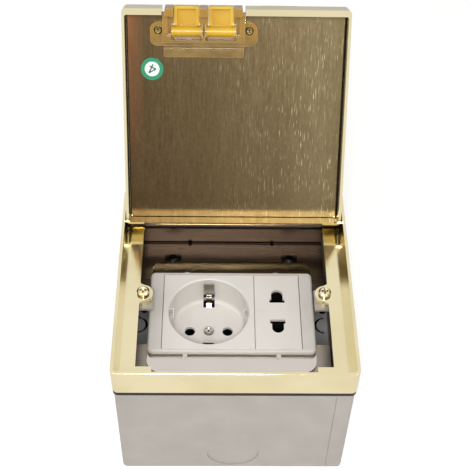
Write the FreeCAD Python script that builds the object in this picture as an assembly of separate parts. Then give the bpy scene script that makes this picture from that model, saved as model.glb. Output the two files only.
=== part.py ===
# Floor socket box: a folded steel box, a brass trim frame with a hinged lid tray and cable
# hatch, and a Schuko plus two-pin insert on a yoke between two hanging cradles.
# Millimetres. Origin: centre of the box underside. +Z up, lid hinge at +Y, front at -Y.
import FreeCAD, Part
import os
import math

V = FreeCAD.Vector

# ---- driving dimensions --------------------------------------------------------------
frame_w = 110.0          # trim frame, square, outside
frame_h = 15.0           # height of the trim frame
frame_wall = 1.4
frame_r = 2.8            # vertical corner radius of the frame
ledge_t = 1.5            # thickness of the inner ledge
ledge_w = 9.8            # ledge reach from the outside of the frame
pad_h = 0.55             # raised pads under the front corners of the lid
ear_reach = 1.6          # frame screws, inside the edge of the window
ear_root = 1.4           # round where an ear leaves the ledge
gasket_t = 2.4
gasket_in = 0.15         # gasket edge inside the face of the frame
box_inset = 0.7          # box wall behind the face of the frame
box_h = 68.3
sheet = 1.1              # box sheet
flange_w = 5.6           # inward top flange of the box, from the outside
knock_r = 12.7           # conduit knockouts
knock_z = 15.7           # their height above the underside
slot_back = 21.7         # floor slots, from the front and rear walls
bracket_t = 1.2          # cradles, yoke and lugs
shelf_reach = 17.0       # inner end of the cradle shelves, from the middle
socket_drop = 27.6       # socket face below the top of the frame
insert_x = -0.9          # middle of the insert, beside the middle of the box
module_w = 45.0          # standard module, square
border_x = 6.8           # face frame beyond the modules, left and right
border_y = 1.8           # and front and back
face_t = 3.2             # height of the socket face above the yoke
face_round = 1.3         # round along its upper edge
foot_h = 1.1             # shadow gap under the face frame
foot_in = 0.9
yoke_reach = 33.7        # yoke, front and rear edge from its middle
yoke_r = 6.5             # yoke corners
well_wall = 3.0          # module edge outside the well
well_d = 17.5
well_round = 2.0         # round between well wall and floor
pin_pitch = 19.0         # round pins of the earthed socket
pin2_pitch = 19.0        # round pins of the two-pin socket
blade_pitch = 12.7       # and its flat blades
pin2_skin = 1.6          # its face, around the slots
screw_x = 30.0           # yoke screws
screw_out = 12.8         # rear yoke screws beyond the module edge
screw_out_front = 14.6   # front ones
lid_depth = 12.8         # lid tray, rim to outer skin
lid_wall = 1.3
lid_skin = 1.5
lid_front = 3.0          # thicker front wall of the tray
liner_t = 0.8
backing_t = 0.7
open_angle = 118.0       # modelled pose of the lid
pivot_back = 8.2         # hinge axis in front of the rear face of the frame
pivot_drop = 4.0
hinge_pin_r = 1.5
tab_x = 20.3             # centre of the lifting tab
tab_w = 17.0
hatch_x = -15.3          # centre of the cable hatch
hatch_w = 38.6
hatch_d = 16.5           # depth of the hatch body from the front edge of the lid
lip_d = 24.0             # far edge of its lip
ear_out = 2.2            # hatch screws, beyond the side of the hatch
ear_r = 3.8              # ear beyond its screw
ear_d = 11.0             # and from the front edge of the lid
flap_w = 11.7
barrel_w = 14.2
barrel_r = 3.1
barrel_d = 12.0          # barrel axis from the front edge of the lid
flap_pin_r = 0.8
label_r = 5.4

# ---- clearances ------------------------------------------------------------------------
gap = 0.3                # between parts that move past each other
fit = 0.15               # between parts that drop into each other
run = 0.05               # running fit on pins, radial

# ---- derived levels --------------------------------------------------------------------
box_top = box_h
frame_bot = box_top + gasket_t
top = frame_bot + frame_h
hf = frame_w / 2
hb = hf - box_inset
inner = hf - frame_wall
window = hf - ledge_w
ledge_top = frame_bot + ledge_t
ear_x = window - ear_reach
wall_in = hb - sheet
flange_in = hb - flange_w
flange_bot = box_top - sheet
module_half = module_w / 2
screw_rear = module_half + screw_out
screw_front = -module_half - screw_out_front
face_w = module_w + module_half + 2 * border_x
face_d = module_w + 2 * border_y
well_r = module_w / 2 - well_wall
face_top = top - socket_drop
yoke_top = face_top - face_t
shelf_top = yoke_top - bracket_t
pivot_y = hf - pivot_back
pivot_z = top - pivot_drop
lid_half = inner - gap
rim = top - lid_depth
liner_face = top - lid_skin - backing_t - liner_t      # visible face of the liner


def block(x0, x1, y0, y1, z0, z1):
    return Part.makeBox(x1 - x0, y1 - y0, z1 - z0, V(x0, y0, z0))


def rod(x, y, z, r, h, axis=V(0, 0, 1)):
    return Part.makeCylinder(r, h, V(x, y, z), axis)


def slab(x0, x1, y0, y1, z0, z1, r):
    # block with rounded vertical corners
    s = block(x0, x1, y0, y1, z0, z1)
    return s.makeFillet(r, [e for e in s.Edges if upright(e)])


def upright(e):
    a, b = e.Vertexes[0].Point, e.Vertexes[-1].Point
    return len(e.Vertexes) == 2 and abs(a.x - b.x) < 1e-6 and abs(a.y - b.y) < 1e-6


def at_level(e, z):
    bb = e.BoundBox
    return abs(bb.ZMin - z) < 1e-5 and abs(bb.ZMax - z) < 1e-5


def soften(s, r, pick):
    return s.makeFillet(r, [e for e in s.Edges if pick(e)])


def bevel(s, d, pick):
    return s.makeChamfer(d, [e for e in s.Edges if pick(e)])


def plate_along_x(points, x0, x1):
    # closed YZ outline pushed along X
    pts = [V(x0, y, z) for y, z in points]
    return Part.Face(Part.makePolygon(pts + [pts[0]])).extrude(V(x1 - x0, 0, 0))


def fold(path, t, x0, x1, r):
    # bent strip: centre line in YZ, thickness t, inside bend radius r, width along X
    pts = [V(0, y, z) for y, z in path]
    dirs = [(b - a).normalize() for a, b in zip(pts, pts[1:])]
    sides, bends = [[], []], [[], []]
    for i, p in enumerate(pts):
        u, w = dirs[max(i - 1, 0)], dirs[min(i, len(dirs) - 1)]
        nu, nw = V(0, -u.z, u.y), V(0, -w.z, w.y)
        mitre = (nu + nw) * (t / 2 / (1 + nu.dot(nw)))
        sides[0].append(p + mitre)
        sides[1].append(p - mitre)
        turn = u.y * w.z - u.z * w.y
        if abs(turn) > 1e-6:
            way = 1 if turn > 0 else -1
            bends[0].append(p + mitre * way)
            bends[1].append(p - mitre * way)
    s = plate_along_x([(q.y, q.z) for q in sides[0] + sides[1][::-1]], x0, x1)
    for corners, radius in zip(bends, (r, r + t)):
        if corners:
            s = soften(s, radius, lambda e: along_x(e, corners))
    return s


def along_x(e, corners):
    bb = e.BoundBox
    thin = bb.YLength < 1e-5 and bb.ZLength < 1e-5
    return thin and any(abs(bb.YMin - q.y) < 1e-4 and abs(bb.ZMin - q.z) < 1e-4 for q in corners)


def cross_recess(x, y, z, size, depth):
    # Phillips cross cut down from z
    a = block(x - size / 2, x + size / 2, y - size * 0.14, y + size * 0.14, z - depth, z + 1)
    b = block(x - size * 0.14, x + size * 0.14, y - size / 2, y + size / 2, z - depth, z + 1)
    return a.fuse(b)


def pan_screw(x, y, seat, head_r, head_h, shank_r, length):
    # pan-head screw seated at z = seat, shank downwards
    head = rod(x, y, seat, head_r, head_h)
    head = bevel(head, head_h * 0.4, lambda e: at_level(e, seat + head_h))
    head = head.cut(cross_recess(x, y, seat + head_h, head_r * 1.15, head_h * 0.55))
    return head.fuse(rod(x, y, seat - length, shank_r, length + 0.1)).removeSplitter()


def mirror_x(s):
    return s.mirror(V(0, 0, 0), V(1, 0, 0))


# ---- folded box ------------------------------------------------------------------------
def knockout(s, centre, axis):
    # half-punched disc: pushed inwards by half a sheet, still joined round its edge
    push = sheet * 0.5
    hole = Part.makeCylinder(knock_r, sheet + 2, centre - axis, axis)
    disc = Part.makeCylinder(knock_r, sheet, centre + axis * push, axis)
    return s.cut(hole).fuse(disc)


def floor_slot(side):
    # C-shaped anchor slot in the floor beside a wall
    cx, cy, r_out, r_in = side * (wall_in - 1.6), hb - slot_back, 5.6, 4.2
    ring = rod(cx, cy, -1, r_out, sheet + 2).cut(rod(cx, cy, -1, r_in, sheet + 2))
    x0, x1 = sorted((cx, cx - side * (r_out + 1)))
    return ring.common(block(x0, x1, cy - r_out - 1, cy + r_out + 1, -1, sheet + 1))


def make_back_box():
    out_r = 2.2
    outer = slab(-hb, hb, -hb, hb, 0, box_h, out_r)
    outer = soften(outer, out_r, lambda e: at_level(e, 0))
    hollow = slab(-wall_in, wall_in, -wall_in, wall_in, sheet, box_h - sheet, out_r - sheet)
    mouth = slab(-flange_in, flange_in, -flange_in, flange_in, box_h - sheet - 1, box_h + 1, 2.0)
    s = outer.cut(hollow).cut(mouth)
    for side in (-1, 1):
        s = s.cut(floor_slot(side)).cut(floor_slot(side).mirror(V(0, 0, 0), V(0, 1, 0)))
        s = knockout(s, V(side * hb, 0, knock_z), V(-side, 0, 0))
        s = knockout(s, V(0, side * hb, knock_z), V(0, -side, 0))
    # overlap seam of the wrapped sheet on the front face
    seam = block(hb - 8.3, hb - 8.0, -hb - 1, -hb + 0.3, 2.5, box_h - 1.5)
    return s.cut(seam)


def make_gasket():
    edge = hf - gasket_in
    s = slab(-edge, edge, -edge, edge, box_top, frame_bot, frame_r - gasket_in)
    return s.cut(slab(-flange_in, flange_in, -flange_in, flange_in, box_top - 1, frame_bot + 1, 2.0))


# ---- trim frame --------------------------------------------------------------------------
def make_trim_frame():
    s = slab(-hf, hf, -hf, hf, frame_bot, top, frame_r)
    s = soften(s, 0.4, lambda e: at_level(e, top))
    s = s.cut(slab(-inner, inner, -inner, inner, ledge_top, top + 1, frame_r - frame_wall))
    s = s.cut(slab(-window, window, -window, window, frame_bot - 1, ledge_top + 1, 1.5))
    root, tip_r = 5.8, 4.7
    for side in (-1, 1):
        ear = rod(side * ear_x, 0, frame_bot, tip_r, ledge_t)
        pts = [(side * (window + 1), -root), (side * (window + 1), root),
               (side * window, root), (side * (ear_x - 0.6), tip_r),
               (side * (ear_x - 0.6), -tip_r), (side * window, -root)]
        wire = Part.makePolygon([V(x, y, frame_bot) for x, y in pts + [pts[0]]])
        s = s.fuse(ear).fuse(Part.Face(wire).extrude(V(0, 0, ledge_t)))
        # corner pads that the lid rim comes down on
        x0, x1 = sorted((side * (inner + 0.2), side * (window - 7.4)))
        s = s.fuse(block(x0, x1, -inner - 0.2, -window + 2.8, frame_bot, ledge_top + pad_h))
        s = s.cut(rod(side * ear_x, 0, frame_bot - 1, 1.95, ledge_t + 2))
        s = s.cut(rod(side * (inner - 1), pivot_y, pivot_z, hinge_pin_r, frame_wall + 2, V(side, 0, 0)))
    s = s.removeSplitter()
    return soften(s, ear_root, lambda e: upright(e) and at_ear_root(e.Vertexes[0].Point, root))


def at_ear_root(p, root):
    return abs(abs(p.x) - window) < 0.05 and root - 0.6 < abs(p.y) < root + 0.6


def make_frame_screw(side):
    return pan_screw(side * ear_x, 0, ledge_top, 3.0, 2.2, 1.75, 14.0)


def make_ear_spacer(side):
    lug_top = flange_bot
    s = rod(side * ear_x, 0, lug_top, 4.2, frame_bot - lug_top)
    return s.cut(rod(side * ear_x, 0, lug_top - 1, 1.95, 9))


def make_lug(side):
    # folded lug under the box flange, spot-welded to the side wall, tapped for the screw
    t = bracket_t
    z1 = flange_bot
    tab = block(ear_x - 4.6, wall_in, -6.0, 6.0, z1 - t, z1)
    tab = tab.fuse(block(wall_in - t, wall_in, -6.0, 6.0, z1 - 14, z1))
    tab = tab.fuse(rod(ear_x, 0, z1 - t - 2.4, 3.0, 2.4 + t))
    tab = tab.cut(rod(ear_x, 0, z1 - 8, 1.75, 12)).removeSplitter()
    return tab if side > 0 else mirror_x(tab)


# ---- cradles, yoke and their screws ----------------------------------------------------
def make_cradle(side):
    # lip under the box flange, leg down, shelf inwards; tapped collars for the yoke screws
    t = bracket_t
    leg = flange_in - 0.1 - t / 2
    path = [(wall_in, flange_bot - t / 2), (leg, flange_bot - t / 2),
            (leg, shelf_top - t / 2), (shelf_reach, shelf_top - t / 2)]
    half = flange_in - 2.2
    s = fold(path, t, -half, half, t * 0.9)
    s = s.cut(block(insert_x - hole_w - 1.6, insert_x + hole_w + 1.6, 0, hole_d + gap,
                    shelf_top - 5, shelf_top + 1))
    y = screw_rear if side > 0 else -screw_front
    for x in (insert_x - screw_x, insert_x + screw_x):
        s = s.fuse(rod(x, y, shelf_top - t - 2.2, 2.6, 2.2 + t * 0.5))
        s = s.cut(rod(x, y, shelf_top - 9, 1.5, 12))
    for x in (-bend_hole_x, bend_hole_x):
        s = s.cut(rod(insert_x + x, leg - t / 2 - 1.2, shelf_top - 3, 1.0, 6))
    s = s.removeSplitter()
    return s if side > 0 else s.mirror(V(0, 0, 0), V(0, 1, 0))


bend_hole_x = 21.4                             # relief holes in the bend of the cradle
hole_w = (module_w + module_half) / 2 - 0.4     # half opening of the yoke, across
hole_d = module_w / 2 - 0.7                     # and front to back


def make_yoke():
    # plate with round corners and a tab for each screw
    half_w = face_w / 2 - 0.1
    z0 = yoke_top - bracket_t
    s = slab(-half_w, half_w, -yoke_reach, yoke_reach, z0, yoke_top, yoke_r)
    for x in (-screw_x, screw_x):
        s = s.fuse(slab(x - 4.2, x + 4.2, screw_front - 3.6, screw_rear + 3.3, z0, yoke_top, 1.8))
    s = s.cut(block(-hole_w, hole_w, -hole_d, hole_d, yoke_top - 3, yoke_top + 1))
    for x in (-screw_x, screw_x):
        for y in (screw_front, screw_rear):
            s = s.cut(rod(x, y, yoke_top - 3, 1.65, 5))
    # stiffening lips turned down beside the opening
    for side in (-1, 1):
        x0, x1 = sorted((side * (hole_w + 0.0), side * (hole_w + bracket_t)))
        s = s.fuse(block(x0, x1, -15.5, 15.5, yoke_top - 6.0, yoke_top - 0.2))
    return s.removeSplitter()


# ---- socket face and modules -------------------------------------------------------------
mod_x0 = -(module_w + module_half) / 2
mod_x1 = mod_x0 + module_w
well_x = mod_x0 + module_w / 2
pin2_x = mod_x1 + module_half / 2


def make_face_frame():
    hw, hd = face_w / 2, face_d / 2
    s = slab(-hw, hw, -hd, hd, yoke_top, face_top, 2.6)
    s = soften(s, face_round, lambda e: at_level(e, face_top))
    # shadow gap: the foot stands back under the edge
    band = slab(-hw - 1, hw + 1, -hd - 1, hd + 1, yoke_top - 1, yoke_top + foot_h, 2.6)
    foot = slab(-hw + foot_in, hw - foot_in, -hd + foot_in, hd - foot_in, yoke_top - 2, face_top, 1.7)
    s = s.cut(band.cut(foot))
    w = (module_w + module_half) / 2 + fit
    d = module_w / 2 + fit
    s = s.cut(block(-w, w, -d, d, yoke_top - 1, face_top + 1))
    # release nubs at the foot of the long edges
    for x in (-22.4, 22.4):
        for side in (-1, 1):
            y0, y1 = sorted((side * (hd - foot_in - 0.3), side * (hd + 1.3)))
            s = s.fuse(block(x - 1.1, x + 1.1, y0, y1, yoke_top, yoke_top + 1.2))
    return s.removeSplitter()


floor_z = face_top - well_d
floor_t = 1.6
body_d = module_w / 2 - 1.0       # half depth of the module bodies below the yoke


def make_schuko_cover():
    x0, x1 = mod_x0 + 0.1, mod_x1 - 0.1
    y = module_w / 2 - 0.1
    s = block(x0, x1, -y, y, yoke_top, face_top)
    s = bevel(s, 0.25, lambda e: at_level(e, face_top))
    bx0, bx1 = mod_x0 + 0.7, mod_x1 - 0.4
    s = s.fuse(rod(well_x, 0, floor_z - floor_t, well_r + 1.2, well_d + floor_t - 0.5))
    s = s.fuse(block(bx0, bx1, -body_d, body_d, floor_z - floor_t, floor_z))
    well = soften(rod(well_x, 0, floor_z, well_r, well_d + 5), well_round, lambda e: at_level(e, floor_z))
    s = s.cut(well)
    s = bevel(s, 0.6, lambda e: at_level(e, face_top) and e.Curve.TypeId == "Part::GeomCircle")
    # guide ribs left and right, cored from above
    for side in (-1, 1):
        x0, x1 = sorted((well_x + side * (well_r + 0.3), well_x + side * (well_r - 2.4)))
        s = s.fuse(block(x0, x1, -2.8, 2.8, floor_z - 0.2, face_top - 2.0))
        x0, x1 = sorted((well_x + side * (well_r + 0.2), well_x + side * (well_r - 1.9)))
        s = s.cut(block(x0, x1, -2.3, 2.3, face_top - 6.0, face_top - 1.0))
        s = s.cut(rod(well_x + side * pin_pitch / 2, 0, floor_z - 5, 2.65, 8))
        # slots for the earth clip through the wall and the floor
        y0, y1 = sorted((side * 15.0, side * (well_r + 1.4)))
        s = s.cut(block(well_x - 2.9, well_x + 2.9, y0, y1, floor_z - 5, face_top - 11.0))
        y0, y1 = sorted((side * (well_r - 0.8), side * (well_r + 0.4)))
        s = s.cut(block(well_x - 2.9, well_x + 2.9, y0, y1, floor_z, face_top - 0.8))
    s = s.cut(rod(well_x, 0, floor_z - 5, 1.55, 8))
    return s.removeSplitter()


base_top = floor_z - floor_t
base_bot = base_top - 15.0
seat_z = base_bot + 1.6                        # inner floor of the base


def make_schuko_base():
    x0, x1 = mod_x0 + 0.7, mod_x1 - 0.4
    s = slab(x0, x1, -body_d, body_d, base_bot, base_top, 1.0)
    s = s.cut(block(x0 + 1.6, x1 - 1.6, -body_d + 1.6, body_d - 1.6, base_bot + 1.6, base_top + 1))
    # centre post that takes the cover screw, and walls between the chambers
    s = s.fuse(rod(well_x, 0, base_bot + 1, 3.4, base_top - base_bot - 2.6))
    for x in (-5.2, 5.2):
        s = s.fuse(block(well_x + x - 0.6, well_x + x + 0.6, -body_d + 1, body_d - 1,
                         base_bot + 1, base_top - 3.4))
    s = s.cut(rod(well_x, 0, base_bot - 1, 1.5, 30))
    for x, y in terminal_spots():
        s = s.cut(rod(x, y, base_bot - 1, 2.4, 4))
    return s.removeSplitter()


def terminal_spots():
    return [(well_x - 14.5, -9.5), (well_x + 14.5, -9.5), (well_x, -12.0)]


def terminal_block(x, y, z):
    # brass clamp block with a wire hole from the side and a tapped hole from below
    s = block(x - 3.4, x + 3.4, y - clamp_half, y + clamp_half, z, z + 6.4)
    s = s.cut(rod(x, y - 5, z + 4.2, 1.4, 10, V(0, 1, 0)))
    return s.cut(rod(x, y, z - 1, 1.5, 3.8))


def make_contact(side):
    # split sleeve for the round pin, an arm and the clamp block
    x = well_x + side * pin_pitch / 2
    z0, z1 = seat_z, base_top - 0.4
    s = rod(x, 0, z0, 3.1, z1 - z0)
    s = s.cut(rod(x, 0, z0 + 1.2, 2.45, z1 - z0))
    s = s.cut(block(x - 0.5, x + 0.5, -4, 4, z0 + 3.0, z1 + 1))
    tx, ty = terminal_spots()[0 if side < 0 else 1]
    x0, x1 = sorted((x + side * 1.0, tx + side * 2.0))
    s = s.fuse(block(x0, x1, -8.0, -1.2, z0, z0 + 1.2))
    return s.fuse(terminal_block(tx, ty, z0)).removeSplitter()


def make_earth_clip():
    # one bent strip: a springy finger with a wide tip at each end, a bridge under the well floor
    t, w, tip = 0.8, 2.6, 5.2
    foot = base_top - 1.2
    hy = well_r - 1.0
    bump, end = (hy - 2.3, face_top - 8.0), (hy - 0.9, face_top - 1.4)
    s = block(well_x - tip / 2, well_x + tip / 2, -hy + 4.2, hy - 4.2, foot - t / 2, foot + t / 2)
    finger = fold([(hy - 5.0, foot), (hy, foot), (hy, floor_z + 4.0), bump, end],
                  t, well_x - w / 2, well_x + w / 2, 0.8)
    finger = finger.fuse(fold([bump, end], t, well_x - tip / 2, well_x + tip / 2, 0.8))
    s = s.fuse(finger).fuse(finger.mirror(V(0, 0, 0), V(0, 1, 0)))
    s = s.fuse(rod(well_x, 0, foot - t / 2, 4.4, t))
    s = s.cut(rod(well_x, 0, foot - 3, 1.7, 6))
    tx, ty = terminal_spots()[2]
    s = s.fuse(terminal_block(tx, ty, seat_z))
    riser = block(tx - 2.4, tx + 2.4, ty - 0.6, ty + 0.6, seat_z + 6.0, foot)
    return s.fuse(riser).removeSplitter()


def make_centre_screw():
    s = pan_screw(well_x, 0, floor_z, 2.5, 1.5, 1.5, 13.5)
    return s


def make_terminal_screw(x, y, z):
    # slotted clamp screw driven from below, head seated at z
    head = rod(x, y, z - 2.1, 2.2, 2.1)
    head = head.cut(block(x - 3, x + 3, y - 0.4, y + 0.4, z - 3, z - 1.2))
    return head.fuse(rod(x, y, z - 0.1, 1.5, 2.7)).removeSplitter()


def two_pin_holes(z0, z1):
    # flat blade bar with a round-topped slot for a round pin, front and rear
    cut = None
    for side in (1, -1):
        far = side * (pin2_pitch / 2 + 0.6)
        d = rod(pin2_x, far, z0, 2.9, z1 - z0)
        y0, y1 = sorted((side * blade_pitch / 2, far))
        d = d.fuse(block(pin2_x - 2.9, pin2_x + 2.9, y0, y1, z0, z1))
        y0, y1 = sorted((side * (blade_pitch / 2 - 1.2), side * (blade_pitch / 2 + 1.2)))
        d = d.fuse(block(pin2_x - 3.75, pin2_x + 3.75, y0, y1, z0, z1))
        cut = d if cut is None else cut.fuse(d)
    return cut


pin2_join = yoke_top - 5.0
pin2_bot = yoke_top - 18.0
clamp_half = 3.0                               # half length of a clamp block
clamp_gap = 0.8                                # between it and the end wall of the base
pin2_wall = 1.5
pin2_y = body_d - pin2_wall - clamp_half - clamp_gap


def make_pin2_cover():
    x0, x1 = mod_x1 + 0.1, mod_x1 + module_half - 0.1
    y = module_w / 2 - 0.1
    s = block(x0, x1, -y, y, yoke_top, face_top)
    s = bevel(s, 0.25, lambda e: at_level(e, face_top))
    bx0, bx1 = mod_x1 + 0.4, mod_x1 + module_half - 0.7
    s = s.fuse(block(bx0, bx1, -body_d, body_d, pin2_join, yoke_top + 0.2))
    s = s.cut(block(bx0 + pin2_wall, bx1 - pin2_wall, -body_d + pin2_wall, body_d - pin2_wall, pin2_join - 1,
                    face_top - pin2_skin))
    s = s.cut(block(x0 - 1, x1 + 1, -0.15, 0.15, face_top - 0.2, face_top + 1))
    return s.cut(two_pin_holes(pin2_join - 2, face_top + 1)).removeSplitter()


def make_pin2_base():
    x0, x1 = mod_x1 + 0.4, mod_x1 + module_half - 0.7
    s = slab(x0, x1, -body_d, body_d, pin2_bot, pin2_join, 1.0)
    s = s.cut(block(x0 + pin2_wall, x1 - pin2_wall, -body_d + pin2_wall, body_d - pin2_wall, pin2_bot + 1.6, pin2_join + 1))
    s = s.fuse(block(x0 + 1, x1 - 1, -0.7, 0.7, pin2_bot + 1, pin2_join))
    for side in (-1, 1):
        s = s.cut(rod(pin2_x, side * pin2_y, pin2_bot - 1, 2.4, 4))
    return s.removeSplitter()


def make_pin2_contact(side):
    # two leaves that grip a blade or a round pin, on a foot with the clamp block
    z0 = pin2_bot + 1.6
    near, far = blade_pitch / 2 - 1.6, pin2_pitch / 2 + 2.4
    s = block(pin2_x - 3.4, pin2_x + 3.4, near, pin2_y - 2.0, z0, z0 + 1.0)
    for y0 in (near, far):
        s = s.fuse(block(pin2_x - 3.2, pin2_x + 3.2, y0, y0 + 0.7, z0 + 0.2, pin2_join + 1.5))
    s = s.fuse(terminal_block(pin2_x, pin2_y, z0))
    s = s.removeSplitter()
    return s if side > 0 else s.mirror(V(0, 0, 0), V(0, 1, 0))


# ---- earth terminal of the box ---------------------------------------------------------
earth_y = -wall_in + 23.2
earth_x = wall_in - 25.2
earth_z = sheet + 8.0


def make_earth_tab():
    # small welded angle on the floor with an upright leg
    s = block(earth_x, earth_x + 12, earth_y - 5, earth_y + 5, sheet, sheet + 1.5)
    s = s.fuse(block(earth_x, earth_x + 1.5, earth_y - 5, earth_y + 5, sheet, earth_z + 5))
    return s.cut(rod(earth_x - 2, earth_y, earth_z, 2.0, 6, V(1, 0, 0))).removeSplitter()


def make_earth_washer():
    s = rod(earth_x - 1, earth_y, earth_z, 4.5, 1.0, V(1, 0, 0))
    return s.cut(rod(earth_x - 2, earth_y, earth_z, 2.15, 4, V(1, 0, 0)))


def make_earth_screw():
    s = rod(earth_x - 3.6, earth_y, earth_z, 3.6, 2.6, V(1, 0, 0))
    s = s.cut(block(earth_x - 5, earth_x - 2.5, earth_y - 5, earth_y + 5, earth_z - 0.5, earth_z + 0.5))
    return s.fuse(rod(earth_x - 1.1, earth_y, earth_z, 2.0, 8, V(1, 0, 0))).removeSplitter()


# ---- lid, modelled closed and then swung open ------------------------------------------
lid_edge = -lid_half                   # front edge of the closed lid
hatch_x0 = hatch_x - hatch_w / 2
hatch_x1 = hatch_x + hatch_w / 2
hatch_back = lid_edge + hatch_d
ear_off = hatch_w / 2 + ear_out
ear_y = lid_edge + ear_d


def hinge_round(y0, y1):
    # rear end of the lid in side view: clears the rear wall above and the ledge below
    far = inner - gap - pivot_y
    low = pivot_z - ledge_top - gap
    s = block(-60, 60, y0, y1, rim - 20, top + 10)
    upper = rod(-60, pivot_y, pivot_z, far, 120, V(1, 0, 0))
    lower = rod(-60, pivot_y, pivot_z, low, 120, V(1, 0, 0))
    keep = lower.common(block(-60, 60, pivot_y, pivot_y + far, rim - 20, pivot_z))
    keep = keep.fuse(upper.common(block(-60, 60, pivot_y, y1, pivot_z, top)))
    keep = keep.fuse(block(-60, 60, pivot_y, pivot_y + math.sqrt(far ** 2 - pivot_drop ** 2),
                           pivot_z, top))
    return s.cut(keep)


def make_lid_shell():
    s = slab(-lid_half, lid_half, -lid_half, lid_half, rim, top, 2.0)
    s = soften(s, 1.0, lambda e: at_level(e, top))
    x = lid_half - lid_wall
    hollow = slab(-x, x, -lid_half + lid_front, x, rim - 1, top - lid_skin, 1.0)
    s = s.cut(hollow).cut(hinge_round(pivot_y, lid_half + 5))
    # pocket of the lifting tab
    s = s.cut(block(tab_x - tab_w / 2 - fit, tab_x + tab_w / 2 + fit, lid_edge - 1, lid_edge + 4.2,
                    top - 1.0, top + 1))
    for side in (-1, 1):
        s = s.cut(rod(side * (lid_half - 3), pivot_y, pivot_z, hinge_pin_r + run, 6, V(side, 0, 0)))
        # boss behind the skin for the hatch screw
        x = hatch_x + side * ear_off
        s = s.fuse(rod(x, ear_y, liner_face, 2.6, top - lid_skin - liner_face + 0.3))
        s = s.cut(rod(x, ear_y, liner_face - 1, 1.1, 3.5))
    s = s.cut(block(hatch_x0 - fit, hatch_x1 + fit, lid_edge - 1, hatch_back + fit, rim - 1, top + 1))
    return s.removeSplitter()


def lid_sheet(z0, z1, edge):
    # flat sheet inside the tray, notched for the hatch and its screws
    x = lid_half - lid_wall - edge
    s = slab(-x, x, -lid_half + lid_front + edge, lid_half - lid_wall - gap, z0, z1, 1.0)
    s = s.cut(hinge_round(pivot_y, lid_half + 5))
    s = s.cut(block(hatch_x0 - 0.4, hatch_x1 + 0.4, -60, hatch_back + 0.4, z0 - 1, z1 + 1))
    for side in (-1, 1):
        s = s.cut(rod(hatch_x + side * ear_off, ear_y, z0 - 1, 2.9, 5))
    return s


def make_lid_backing():
    return lid_sheet(liner_face + liner_t, top - lid_skin, 0.9)


def make_lid_liner():
    return lid_sheet(liner_face, liner_face + liner_t, 0.7)


def make_hinge_pin(side):
    # plain pin through the lid wall, pressed into the frame
    x0 = lid_half - lid_wall
    s = rod(x0, pivot_y, pivot_z, hinge_pin_r, hf - 0.1 - x0, V(1, 0, 0))
    return s if side > 0 else mirror_x(s)


def make_lift_tab():
    s = block(tab_x - tab_w / 2, tab_x + tab_w / 2, lid_edge + 0.1, lid_edge + 4.2, top - 1.0, top + 0.9)
    return soften(s, 0.5, lambda e: at_level(e, top + 0.9))


barrel_y = lid_edge + barrel_d
barrel_z = top - barrel_r
flap_off = (barrel_w + 1.9) / 2       # flap centre from the hatch centre


def make_hatch_base():
    # frame round the two flaps, an eared plate on the liner and a lip behind it
    deep = top - 8.2
    front = -lid_half + lid_front
    s = block(hatch_x0 + 1.2, hatch_x1 - 1.2, -lid_half, front + 0.6, rim + 0.1, top)
    s = s.fuse(block(hatch_x0, hatch_x1, front + 0.2, hatch_back, deep, top))
    s = s.fuse(slab(hatch_x - ear_off - ear_r, hatch_x + ear_off + ear_r, ear_y - 3.6, ear_y + 7.5,
                    liner_face - 2.6, liner_face, 3.4))
    s = s.fuse(slab(hatch_x0 + 0.3, hatch_x1 - 0.3, hatch_back - 1.5, lid_edge + lip_d,
                    liner_face - 1.4, liner_face, 0.6))
    s = s.fuse(block(hatch_x0 + 0.5, hatch_x1 - 0.5, hatch_back + 3.2, hatch_back + 4.1, liner_face - 2.0, liner_face - 1.2))
    for side in (-1, 1):
        s = s.cut(rod(hatch_x + side * ear_off, ear_y, liner_face - 6, 1.25, 9))
        cx = hatch_x + side * flap_off
        w, b = flap_w / 2 + gap, barrel_w / 2 + gap
        s = s.cut(block(cx - w, cx + w, -60, barrel_y, rim - 1, top + 1))
        s = s.cut(block(cx - b, cx + b, barrel_y - barrel_r - 0.6, barrel_y + barrel_r + gap,
                        rim - 1, top + 1))
        # pockets beside the flaps
        x0, x1 = sorted((cx + side * (w - 0.1), cx + side * (w + 2.8)))
        s = s.cut(block(x0, x1, front + 0.6, barrel_y + 1.5, deep - 1, deep + 3.4))
    # recess and slot between the flaps
    s = s.cut(block(hatch_x - 1.9, hatch_x + 1.9, front + 1.4, barrel_y - 3.6, deep - 1, deep + 2.0))
    s = s.cut(block(hatch_x - 0.35, hatch_x + 0.35, barrel_y - 3.9, barrel_y + 1.9, deep - 1, deep + 3.4))
    s = s.cut(rod(hatch_x0 + 0.8, barrel_y, barrel_z, flap_pin_r, hatch_w - 1.6, V(1, 0, 0)))
    return s.removeSplitter()


def make_flap(side):
    # shallow cup, flush with the lid outside, on a barrel with an end plate at each side
    cx = hatch_x + side * flap_off
    w, b = flap_w / 2, barrel_w / 2
    y0 = -lid_half
    s = block(cx - w, cx + w, y0, barrel_y, top - 5.2, top)
    s = s.cut(block(cx - w + 1.5, cx + w - 1.5, y0 + 1.2, barrel_y - barrel_r, top - 6, top - 1.5))
    s = s.cut(block(cx - 20, cx + 20, barrel_y - barrel_r, barrel_y + 1, top - 6, barrel_z))
    s = s.fuse(rod(cx - b, barrel_y, barrel_z, barrel_r - 0.5, barrel_w, V(1, 0, 0)))
    for x in (cx - b, cx + b - 1.0):
        s = s.fuse(rod(x, barrel_y, barrel_z, barrel_r, 1.0, V(1, 0, 0)))
    s = s.cut(rod(cx - 12, barrel_y, barrel_z, flap_pin_r + run, 24, V(1, 0, 0)))
    return s.removeSplitter()


def make_flap_pin():
    return rod(hatch_x0 + 0.8, barrel_y, barrel_z, flap_pin_r, hatch_w - 1.6, V(1, 0, 0))


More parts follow.
